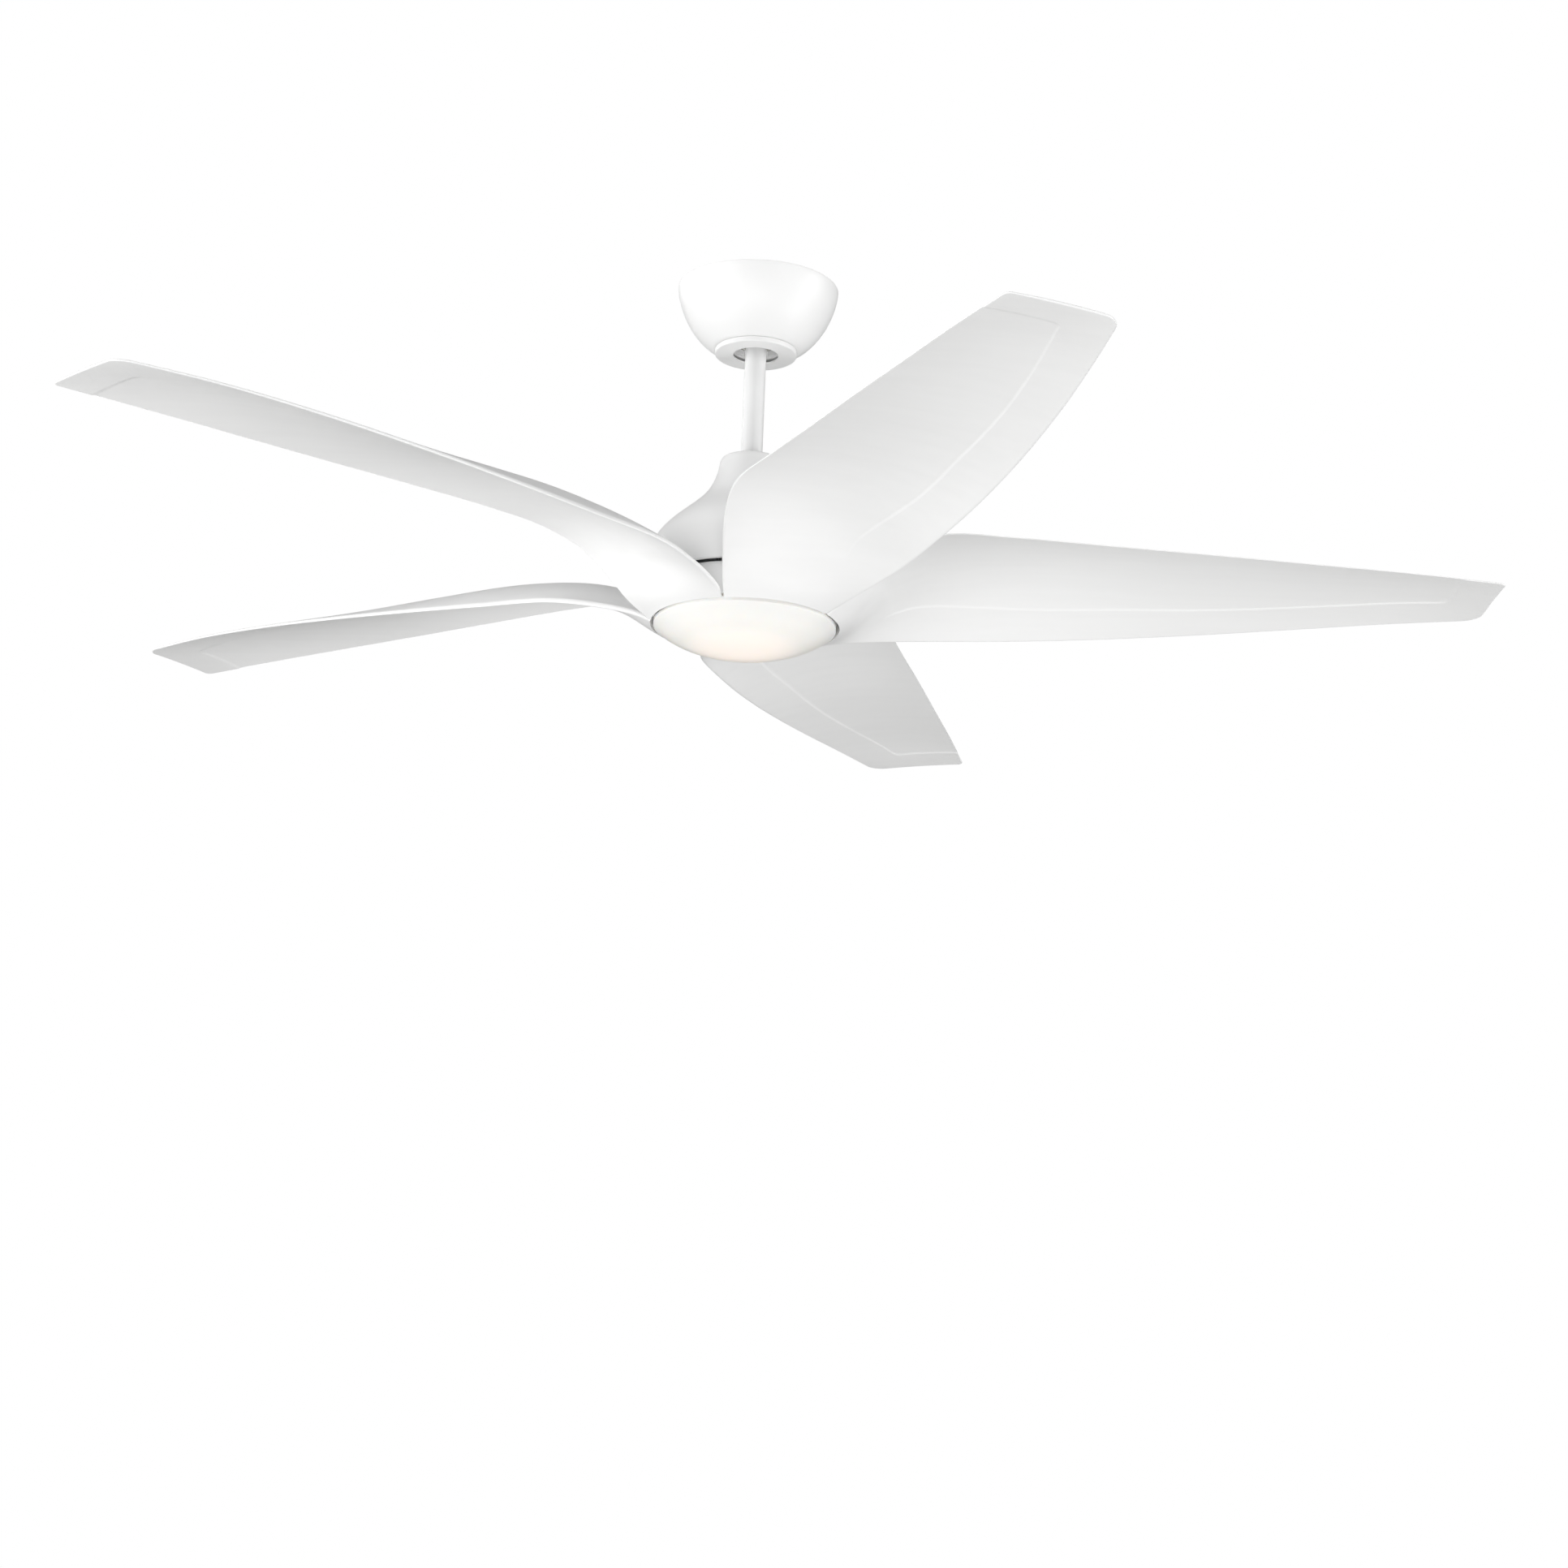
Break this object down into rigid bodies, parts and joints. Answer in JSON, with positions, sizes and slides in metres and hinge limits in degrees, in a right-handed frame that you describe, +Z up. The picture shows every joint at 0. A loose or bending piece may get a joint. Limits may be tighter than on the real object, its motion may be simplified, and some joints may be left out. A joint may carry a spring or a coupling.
{
  "type": "ceiling fan with light",
  "caption": "Ceiling fan with broad twisted blades that rise out of the rim of a round opal light, under a bell motor housing on a short downrod with a bowl canopy.",
  "frame": {"origin": "centre of the hanger bracket's top face, in the plane of the ceiling", "axes": "+Z up into the ceiling, along the downrod and the rotor's axis; +X along the hanger bracket"},
  "size_m": [1.4102, 1.4688, 0.3885],
  "materials": {
    "white_paint": "satin",
    "white_blade": "satin",
    "zinc_steel": "zinc plated",
    "core_steel": "phosphated",
    "copper_wire": "enamelled copper wire",
    "grey_plastic": "moulded",
    "nylon": "moulded",
    "magnet": "ferrite",
    "board": "white solder mask",
    "cable_grey": "matt",
    "opal": "opal, lit from inside"
  },
  "bodies": {
    "ceiling_mount": {"hanger_bracket": "white_paint", "receiver_box": "grey_plastic", "terminal_block": "nylon", "canopy": "white_paint", "canopy_ring": "white_paint", "canopy_screw_1": "zinc_steel", "canopy_screw_2": "zinc_steel"},
    "seat": {"ball_seat": "nylon"},
    "hanging": {"hanger_ball": "nylon", "ball_pin": "zinc_steel", "downrod": "white_paint", "power_cable": "cable_grey", "motor_yoke": "core_steel", "yoke_pin": "zinc_steel", "yoke_clip": "zinc_steel", "yoke_set_screw_1": "zinc_steel", "yoke_set_screw_2": "zinc_steel", "motor_housing": "white_paint", "housing_screw_1": "zinc_steel", "housing_screw_2": "zinc_steel", "housing_screw_3": "zinc_steel", "motor_shaft": "zinc_steel", "shaft_nut": "zinc_steel", "stator_core": "core_steel", "stator_windings": "copper_wire", "light_pan": "zinc_steel", "led_driver": "nylon", "led_board": "board", "led_screw_1": "zinc_steel", "led_screw_2": "zinc_steel", "led_screw_3": "zinc_steel", "diffuser_ring": "zinc_steel"},
    "rotor": {"rotor_can": "core_steel", "rotor_lid": "core_steel", "upper_bearing": "zinc_steel", "lower_bearing": "zinc_steel", "magnet_ring": "magnet", "blade_hub": "white_paint", "hub_screw_1": "zinc_steel", "hub_screw_2": "zinc_steel", "hub_screw_3": "zinc_steel", "hub_screw_4": "zinc_steel", "blade_1": "white_blade", "blade_2": "white_blade", "blade_3": "white_blade", "blade_4": "white_blade", "blade_5": "white_blade", "blade_screw_1": "zinc_steel", "blade_screw_2": "zinc_steel", "blade_screw_3": "zinc_steel", "blade_screw_4": "zinc_steel", "blade_screw_5": "zinc_steel", "blade_screw_6": "zinc_steel", "blade_screw_7": "zinc_steel", "blade_screw_8": "zinc_steel", "blade_screw_9": "zinc_steel", "blade_screw_10": "zinc_steel"},
    "light_cover": {"diffuser": "opal"}
  },
  "joints": [
    {"name": "swing_x", "type": "hinge", "parent": "ceiling_mount", "child": "seat", "pos_m": [0, 0, -0.048], "axis": [1, 0, 0], "range_deg": [-12, 12]},
    {"name": "swing_y", "type": "hinge", "parent": "seat", "child": "hanging", "pos_m": [0, 0, -0.048], "axis": [0, 1, 0], "range_deg": [-12, 12]},
    {"name": "blade_spin", "type": "hinge", "parent": "hanging", "child": "rotor", "pos_m": [0, 0, -0.3235], "axis": [0, 0, 1], "continuous": true},
    {"name": "diffuser_twist", "type": "hinge", "parent": "hanging", "child": "light_cover", "pos_m": [0, 0, -0.3625], "axis": [0, 0, -1], "range_deg": [0, 30]}
  ]
}
